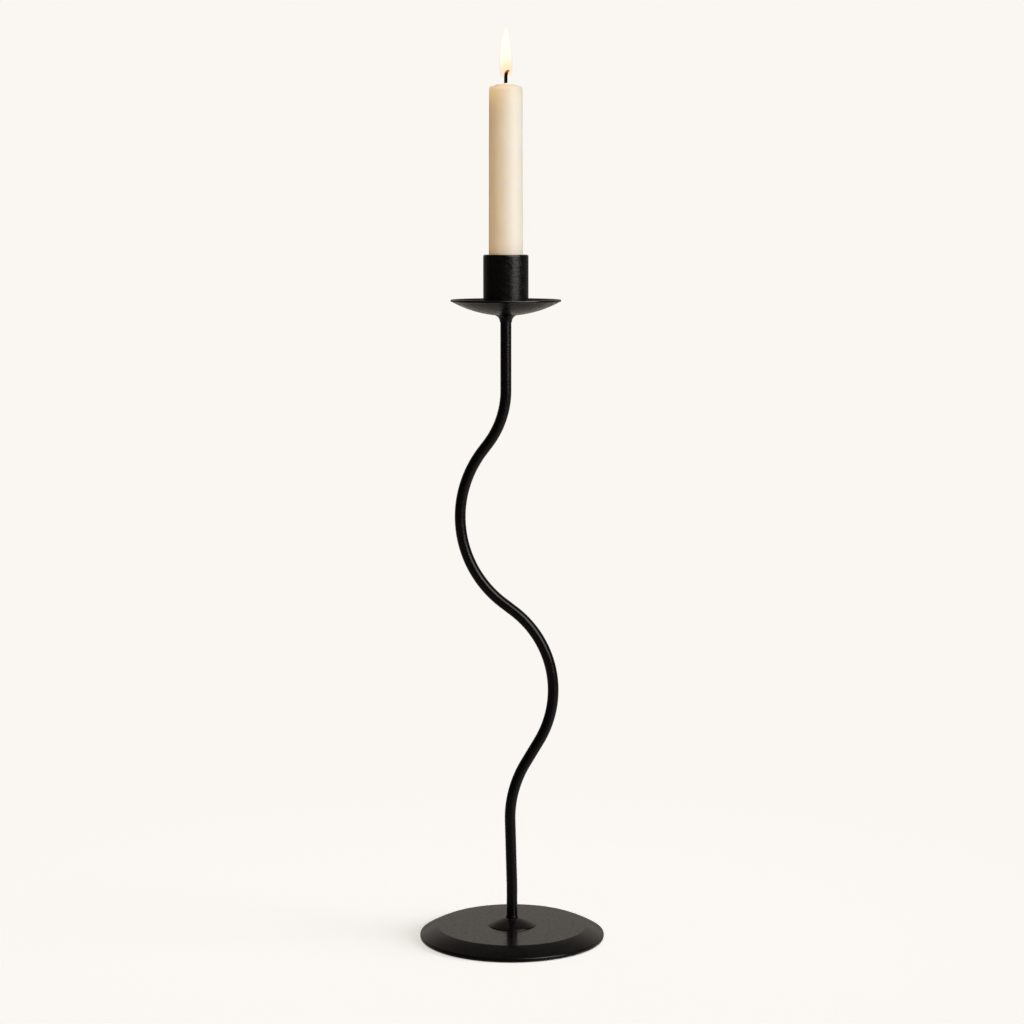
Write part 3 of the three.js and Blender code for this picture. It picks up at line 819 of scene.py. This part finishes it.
def make_screw(name, node, head_down):
    """The head's bearing face lies on z = 0 and the shank below it, until the screw is placed."""
    corners = [(0, -SCREW_LENGTH, 0), (SHANK_RADIUS - 0.5, -SCREW_LENGTH, 0),
               (SHANK_RADIUS, 0.5 - SCREW_LENGTH, 0), (SHANK_RADIUS, 0, 0), (HEAD_RADIUS, 0, 0.2),
               (HEAD_RADIUS, 0.9, 0.5), (HEAD_RADIUS - 0.9, HEAD_HEIGHT, 0.9),
               (HEX_REACH + 0.35, HEAD_HEIGHT, 0.1), (HEX_REACH, HEAD_HEIGHT - 0.2, 0),
               (HEX_REACH, HEAD_HEIGHT - HEX_DEPTH, 0), (0, HEAD_HEIGHT - HEX_DEPTH - 0.3, 0)]
    body = turned(name, rounded(corners), zinc, segments=96, shape=hexagon)
    thread = grown(name + "_thread", thread_tree(), zinc, length=(SCREW_LENGTH - 2) * MM)
    merged = bmesh.new()
    merged.from_mesh(thread.data)
    bmesh.ops.translate(merged, vec=(0, 0, (0.6 - SCREW_LENGTH) * MM), verts=merged.verts)
    merged.from_mesh(body.data)
    low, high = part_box(node)
    if head_down:
        bmesh.ops.rotate(merged, matrix=Matrix.Rotation(math.pi, 3, "X"), verts=merged.verts)
        seat = Vector((0, 0, low.z + HEAD_HEIGHT * MM))
    else:
        seat = Vector(((low.x + high.x) / 2, 0, high.z - HEAD_HEIGHT * MM))
    bmesh.ops.translate(merged, vec=seat, verts=merged.verts)
    merged.to_mesh(body.data)
    merged.free()
    bpy.data.objects.remove(thread)
    body.data.set_sharp_from_angle(angle=math.radians(35))
    stands_for(body, "holder", "zinc", node)


make_screw("base_bolt", "base_screw", head_down=True)
make_screw("cup_bolt", "cup_screw", head_down=False)

# %% Washers
def make_washer(name, node):
    low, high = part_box(node)
    edge = (high.x - low.x) / 2 / MM
    thickness = (high.z - low.z) / MM
    corners = [(SCREW_HOLE, 0, 0.1), (edge, 0, 0.25), (edge, thickness, 0.25), (SCREW_HOLE, thickness, 0.1)]
    washer = turned(name, rounded(corners, 3), zinc, axis_x=(low.x + high.x) / 2, base_z=low.z, segments=96)
    stands_for(washer, "holder", "zinc", node)


make_washer("base_flat_washer", "base_washer")
make_washer("cup_flat_washer", "cup_washer")

# %% [markdown]
# ## The candle
# A dipped candle, slightly tapered, with rounded shoulders. Its top has begun to melt: a low uneven crown
# rises to the wick, with a small bead of melted wax where the wick comes out. The outline is turned, and a
# formula of slow waves then makes the crown and the side a little uneven, as poured wax is.

# %% Candle
TOP_RADIUS, FOOT_BEVEL, SHOULDER_ROUND, WICK_BORE = 10.85, 0.8, 1.8, 1.25
CROWN_RADIUS, CROWN_HEIGHT, CROWN_SLOPE = 5.6, 1.4, 0.55
SIDE_WAVE, SHOULDER_WAVE, CROWN_WAVE = 0.03, 0.25, 0.06


def make_candle():
    low, high = box_in_mm("candle")
    foot = (high.x - low.x) / 2
    crown = high.z - CROWN_HEIGHT
    bottom, top = low.z + FOOT_BEVEL, crown - SHOULDER_ROUND
    side = [Vector((foot + (TOP_RADIUS - foot) * t, bottom + (top - bottom) * t))
            for t in (step / 60 for step in range(61))]
    shoulder = arc((TOP_RADIUS - SHOULDER_ROUND, top), SHOULDER_ROUND, 0, math.pi / 2, 10)
    mound = []
    for step in range(1, 28):
        t = step / 27
        radius = (TOP_RADIUS - SHOULDER_ROUND) * (1 - t) + (WICK_BORE + 0.5) * t
        rise = 1 / (1 + math.exp((radius - CROWN_RADIUS - CROWN_HEIGHT) / CROWN_SLOPE))
        mound.append(Vector((radius, crown + 0.93 * CROWN_HEIGHT * rise)))
    climb = [Vector((WICK_BORE + out, height)) for out, height in (
        (0.25, high.z + 0.05), (0.08, high.z + 0.4), (-0.1, high.z + 0.75), (-0.1, low.z))]
    outline = [Vector((foot - FOOT_BEVEL, low.z))] + side + shoulder[1:] + mound + climb

    def melted(radius, height, angle):
        """Slow waves on the side, and a crown that is a little higher on one side."""
        rise = min(max((height - crown + 0.5) / 1.5, 0), 1)
        wave = math.sin(2 * angle + 0.6) + 0.5 * math.sin(3 * angle - 1.1)
        up_and_down = rise * CROWN_WAVE * wave * min(radius / CROWN_RADIUS, 1)
        side_wave = SIDE_WAVE * math.sin(height / 9) * math.sin(angle + height / 31)
        in_and_out = side_wave * (radius > TOP_RADIUS - 0.5) + rise * SHOULDER_WAVE * wave * (radius > 4)
        return radius + in_and_out, height + up_and_down

    return turned("taper", outline, wax, axis_x=(low.x + high.x) / 2 * MM, segments=192, sharp=60,
                  shape=melted)


stands_for(make_candle(), "candle", "wax", "candle")

# %% [markdown]
# ## The wick
# A flat cotton braid of three strands. A braid is a rule: each strand swings side to side once while it
# swings front to back twice, and the strands follow each other a third of a turn apart. The tree sets each
# point of a path aside by those two swings, and sweeps a small circle along it, once for each strand.
# Above the crown the path leans over a little, more and more towards the tip, as a burnt wick curls.

# %% Wick tree
WICK_STRANDS, STRAND_SIDES = 3, 10


def wick_tree():
    tree, given = new_tree("braided_wick", foot=0.0, crown=0.0, tip=0.0, lean=1.5 * MM, pitch=4.2 * MM,
                           width=0.66 * MM, depth=0.32 * MM, strand=0.52 * MM, points=900)
    row, number = row_of_points(tree, given["points"])
    share = sums(tree, "DIVIDE", number, sums(tree, "SUBTRACT", given["points"], 1))
    height = between(tree, share, 0, 1, given["foot"], given["tip"])
    over = between(tree, height, given["crown"], given["tip"])
    lean = product(tree, given["lean"], sums(tree, "POWER", over, 6.0))
    turns = product(tree, sums(tree, "DIVIDE", height, given["pitch"]), 2 * math.pi)
    braid = add(tree, "GeometryNodeJoinGeometry")
    for strand in range(WICK_STRANDS):
        swing = sums(tree, "ADD", turns, 2 * math.pi * strand / WICK_STRANDS)
        aside = product(tree, given["width"], sums(tree, "SINE", swing))
        ahead = product(tree, given["depth"], sums(tree, "SINE", product(tree, swing, 2.0)))
        across = sums(tree, "ADD", aside, lean)
        spots = add(tree, "ShaderNodeCombineXYZ", {"X": across, "Y": ahead, "Z": height})
        path = path_through(tree, row, spots)
        fill(tree, braid, {0: swept(tree, path, STRAND_SIDES, given["strand"])})
    close_tree(tree, braid, wick_finish)
    return tree

# %% Grow the wick
STRAND_END = 0.4 * MM


def make_wick():
    low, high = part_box("wick")
    foot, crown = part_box("candle")
    wick = grown("braided_wick", wick_tree(), wick_finish, foot=low.z, crown=crown.z, tip=high.z - STRAND_END)
    wick.data.transform(Matrix.Translation(((foot.x + crown.x) / 2, 0, 0)))
    return wick


stands_for(make_wick(), "candle", "wick", "wick")

# %% [markdown]
# ## The flame
# A candle flame is a thin shell of glowing soot, brightest and whitest in its middle and fading to a warm
# edge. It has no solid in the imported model. Here it is three nested drops of light, from a faint outer one
# to a white core, each partly see-through, so that they add up as the real layers do. A drop's radius is a
# formula of its height: it grows as a low power from the bottom and shrinks as a higher one to the tip.
# Low down the front of each drop is left clear, so that the wick shows as it does in a real flame.

# %% Flame
FLAME_BOTTOM, FLAME_TIP, FLAME_RADIUS = 566.4, 599.9, 4.35
WIDEST, LOWER_POWER, UPPER_POWER = 0.28, 0.30, 0.58
FLAME_LEAN = 0.30
FLAME_MOUTH = (0.20, 0.27)


def flame_finish(name, colours, opacity, strength):
    """Light of one drop: its colour and its opacity change with its height."""
    material, tree = bare(name)
    across, ahead, up = axes(tree, add(tree, "ShaderNodeTexCoord").outputs["Object"])
    leftwards = product(tree, sums(tree, "SUBTRACT", AXIS, across), FLAME_LEAN)
    share = between(tree, sums(tree, "ADD", up, leftwards), FLAME_BOTTOM * MM, FLAME_TIP * MM)
    mouth = product(tree, between(tree, share, *FLAME_MOUTH, 1.0, 0.0),
                    between(tree, ahead, -1.5 * MM, 0.5 * MM, 1.0, 0.0))
    greys = [(height, (value,) * 3) for height, value in opacity]
    alpha = product(tree, ramp(tree, share, *greys), sums(tree, "SUBTRACT", 1.0, mouth))
    light = add(tree, "ShaderNodeEmission", {"Color": ramp(tree, share, *colours), "Strength": strength})
    clear = add(tree, "ShaderNodeBsdfTransparent")
    both = add(tree, "ShaderNodeMixShader", {0: alpha, 1: clear, 2: light})
    add(tree, "ShaderNodeOutputMaterial", {"Surface": both})
    return material


def make_drop(name, material, bottom, tip, radius):
    """One drop of the flame, which rides on the candle."""
    outline = [Vector((0, bottom))]
    for step in range(1, 40):
        t = 0.5 - 0.5 * math.cos(math.pi * step / 40)
        grown_by = (t / WIDEST) ** LOWER_POWER * ((1 - t) / (1 - WIDEST)) ** UPPER_POWER
        outline.append(Vector((radius * grown_by, bottom + (tip - bottom) * t)))
    outline.append(Vector((0, tip)))
    drop = turned(name, outline, material, axis_x=AXIS, segments=64, sharp=180)
    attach(drop, "candle")

# %% The three drops
def glowing(*stops):
    """Colours with full red, from (share of the height, green, blue)."""
    return [(share, (1.0, green, blue)) for share, green, blue in stops]


EDGE_COLOURS = glowing((0.0, 0.60, 0.20), (0.22, 0.68, 0.30), (0.35, 0.80, 0.50), (0.6, 0.85, 0.60),
                       (1.0, 0.88, 0.66))
BODY_COLOURS = glowing((0.0, 0.72, 0.38), (0.2, 0.81, 0.54), (0.26, 0.89, 0.68), (0.33, 0.95, 0.79),
                       (0.42, 1.0, 0.94), (0.75, 1.0, 1.0), (1.0, 0.99, 0.84))
CORE_COLOURS = glowing((0.0, 0.72, 0.38), (0.2, 0.82, 0.54), (0.3, 0.88, 0.53), (0.37, 0.93, 0.50),
                       (0.43, 0.96, 0.57), (0.5, 0.99, 0.78), (0.6, 1.0, 0.98), (0.75, 1.0, 1.0),
                       (1.0, 0.99, 0.84))
EDGE_OPACITY = ((0.05, 0.0), (0.12, 0.40), (0.2, 0.42), (0.3, 0.28), (1.0, 0.26))
BODY_OPACITY = ((0.13, 0.0), (0.24, 0.5), (0.4, 0.85), (1.0, 0.8))
EDGE_STRENGTH, BODY_STRENGTH = 1.0, 1.1

make_drop("flame_edge", flame_finish("flame_edge", EDGE_COLOURS, EDGE_OPACITY, EDGE_STRENGTH),
          FLAME_BOTTOM, FLAME_TIP, FLAME_RADIUS)
make_drop("flame_body", flame_finish("flame_body", BODY_COLOURS, BODY_OPACITY, BODY_STRENGTH),
          FLAME_BOTTOM + 0.6, FLAME_TIP - 0.3, FLAME_RADIUS - 0.75)
make_drop("flame_core", flame_finish("flame_core", CORE_COLOURS, BODY_OPACITY, BODY_STRENGTH),
          FLAME_BOTTOM + 2.0, FLAME_TIP - 4.0, FLAME_RADIUS - 2.1)

# %% [markdown]
# ## The floor
# The floor is pale paper, even to the horizon, with only a soft shadow beside the holder. So most of its
# light is its own and the rest comes from a lamp: in the shade only that rest is lost. Further off all of it
# is its own, and under the base it has none.

# %% Floor
PAPER = (0.956, 0.930, 0.888)
FLOOR_SIZE, FLOOR_MATT = 60.0, 0.9
FLOOR_LIGHT = (0.325, 0.320, 0.310)
UNDER_BASE, FAR_OFF = (60.5 * MM, 61.5 * MM), (0.22, 0.5)


def floor_paper():
    material, tree = bare("floor_paper")
    rest = [paper - FLOOR_MATT * light for paper, light in zip(PAPER, FLOOR_LIGHT)]
    glow = add(tree, "ShaderNodeEmission", {"Color": (*rest, 1), "Strength": 1.0})
    matt = add(tree, "ShaderNodeBsdfDiffuse", {"Color": (FLOOR_MATT, FLOOR_MATT, FLOOR_MATT, 1)})
    near = add(tree, "ShaderNodeAddShader", {0: glow, 1: matt})
    far = add(tree, "ShaderNodeEmission", {"Color": (*PAPER, 1), "Strength": 1.0})
    place = add(tree, "ShaderNodeTexCoord").outputs["Object"]
    away = add(tree, "ShaderNodeVectorMath", {0: place}, operation="LENGTH").outputs["Value"]
    beside = add(tree, "ShaderNodeMixShader", {0: between(tree, away, *UNDER_BASE), 1: matt, 2: near})
    whole = add(tree, "ShaderNodeMixShader", {0: between(tree, away, *FAR_OFF), 1: beside, 2: far})
    add(tree, "ShaderNodeOutputMaterial", {"Surface": whole})
    return material


def make_floor():
    half = FLOOR_SIZE / 2
    corners = [(-half, -half, 0), (half, -half, 0), (half, half, 0), (-half, half, 0)]
    mesh = bpy.data.meshes.new("floor")
    mesh.from_pydata(corners, [], [(0, 1, 2, 3)])
    floor = link("floor", mesh, floor_paper())
    floor.visible_glossy = False
    floor.visible_diffuse = False


make_floor()
print("floor:", FLOOR_SIZE, "m wide")

# %% [markdown]
# ## The room
# A black coat shows hardly anything but what it mirrors. The camera sees plain paper, but the coat sees a
# dim room: a card behind the holder gives the thin bright edges and the base's grey sheen, the floor throws
# light up from behind and from the right, and the rest is nearly dark. Map Range nodes on the direction in
# which a ray leaves set each of these.

# %% World
CARD_WARMTH = (1.0, 0.93, 0.82)
BACK_CARD, BACK_GLOW, FLOOR_BOUNCE, FAR_FLOOR, ROOM = 0.225, 0.13, 0.12, 2.6, 0.03
NEAR_FLOOR, RIGHT_FLOOR, CEILING = 0.08, 0.30, 0.05


def make_world():
    world = bpy.data.worlds.new("studio")
    bpy.context.scene.world = world
    world.use_nodes = True
    tree = world.node_tree
    tree.nodes.clear()
    right, back, up = axes(tree, add(tree, "ShaderNodeTexCoord").outputs["Generated"])
    behind = between(tree, back, 0.25, 0.85)
    card = product(tree, between(tree, up, 0.02, 0.16), between(tree, up, 0.45, 0.8, 1.0, 0.0),
                   behind, BACK_CARD)
    bounce = product(tree, between(tree, up, -0.25, -0.03, FLOOR_BOUNCE, 0.0),
                     between(tree, back, -0.6, 0.3), between(tree, back, 0.8, 0.95, 1.0, FAR_FLOOR))
    near = product(tree, between(tree, up, -0.3, 0.0, 1.0, 0.0),
                   between(tree, right, 0.3, 0.7, NEAR_FLOOR, RIGHT_FLOOR))
    floor_light = sums(tree, "MAXIMUM", bounce, near)
    ceiling = between(tree, up, 0.65, 0.85, ROOM, ROOM + CEILING)
    still = sums(tree, "ADD", product(tree, behind, BACK_GLOW), ceiling)
    level = sums(tree, "ADD", sums(tree, "ADD", card, floor_light), still)
    soft = add(tree, "ShaderNodeBackground", {"Color": (*CARD_WARMTH, 1), "Strength": level})
    seen = add(tree, "ShaderNodeBackground", {"Color": (*PAPER, 1), "Strength": 1.0})
    straight = add(tree, "ShaderNodeLightPath").outputs["Is Camera Ray"]
    both = add(tree, "ShaderNodeMixShader", {0: straight, 1: soft, 2: seen})
    add(tree, "ShaderNodeOutputWorld", {"Surface": both})


make_world()
print("world:", bpy.context.scene.world.name)

# %% [markdown]
# ## The lamps
# A large softbox at the right front draws the broad stripe down the cup. Two higher lamps only make the
# fine glints on round edges: one on the pan and the cup, one on the base and its ring. The candle and the
# floor have lamps of their own instead: the wax a key and a warm fill, the floor a low key for its shadow.

# %% Lamp helpers
LAMP_DISTANCE, AIM_HEIGHT = 2.0, 0.35
DAYLIGHT, WAX_DAYLIGHT, WARM_FILL = (1.0, 0.99, 0.97), (0.985, 1.0, 0.985), (1.0, 0.725, 0.387)
FLAME_LIGHT, GLOW_HEIGHT = (1.0, 0.62, 0.30), 0.580


def make_lamp(name, kind, direction, energy, colour=(1, 1, 1), **settings):
    """A lamp that shines from a direction, given as azimuth to the right of the camera and elevation."""
    data = bpy.data.lights.new(name, kind)
    data.energy = energy
    data.color = colour
    for key, value in settings.items():
        setattr(data, key, value)
    lamp = bpy.data.objects.new(name, data)
    azimuth, elevation = (math.radians(angle) for angle in direction)
    source = Vector((math.sin(azimuth) * math.cos(elevation), -math.cos(azimuth) * math.cos(elevation),
                     math.sin(elevation)))
    lamp.rotation_euler = source.to_track_quat("Z", "Y").to_euler()
    if kind == "AREA":
        lamp.location = Vector((0, 0, AIM_HEIGHT)) + LAMP_DISTANCE * source
    bpy.context.scene.collection.objects.link(lamp)
    return lamp


def only_for(lamp, *names, link_state="INCLUDE"):
    """Makes a lamp light these pieces and nothing else, or with EXCLUDE everything else."""
    chosen = bpy.data.collections.new(lamp.name + "_pieces")
    for name in names:
        chosen.objects.link(bpy.data.objects[name])
    for piece in chosen.collection_objects:
        piece.light_linking.link_state = link_state
    lamp.light_linking.receiver_collection = chosen

# %% Lamps
softbox = make_lamp("softbox", "AREA", (51, 21), 13.9, DAYLIGHT, shape="RECTANGLE", size=1.25, size_y=1.5)
lip_light = make_lamp("lip_light", "AREA", (48, 48), 38.0, DAYLIGHT, shape="SQUARE", size=2.0)
rim_light = make_lamp("rim_light", "AREA", (48, 48), 12.0, DAYLIGHT, shape="SQUARE", size=1.4)
wax_key = make_lamp("wax_key", "SUN", (55, 25), 3.12, WAX_DAYLIGHT, angle=math.radians(60))
wax_fill = make_lamp("wax_fill", "SUN", (-60, 15), 1.84, WARM_FILL, angle=math.radians(120))
floor_key = make_lamp("floor_key", "SUN", (80, 12), 3.6, angle=math.radians(36))

only_for(softbox, "floor", "taper", link_state="EXCLUDE")
only_for(lip_light, "pan", "cup")
only_for(rim_light, "base", "rod_foot_ring")
only_for(wax_key, "taper")
only_for(wax_fill, "taper")
only_for(floor_key, "floor")

# A small warm light in the flame, which goes with the candle.
glow = make_lamp("candle_glow", "POINT", (0, 0), 0.006, FLAME_LIGHT, shadow_soft_size=0.004)
glow.location = (AXIS, 0, GLOW_HEIGHT)
glow.parent = frame["bodies"]["candle"]

view = bpy.context.scene.view_settings
view.view_transform = "Standard"
view.look = "None"
print("lamps:", len(bpy.data.lights))
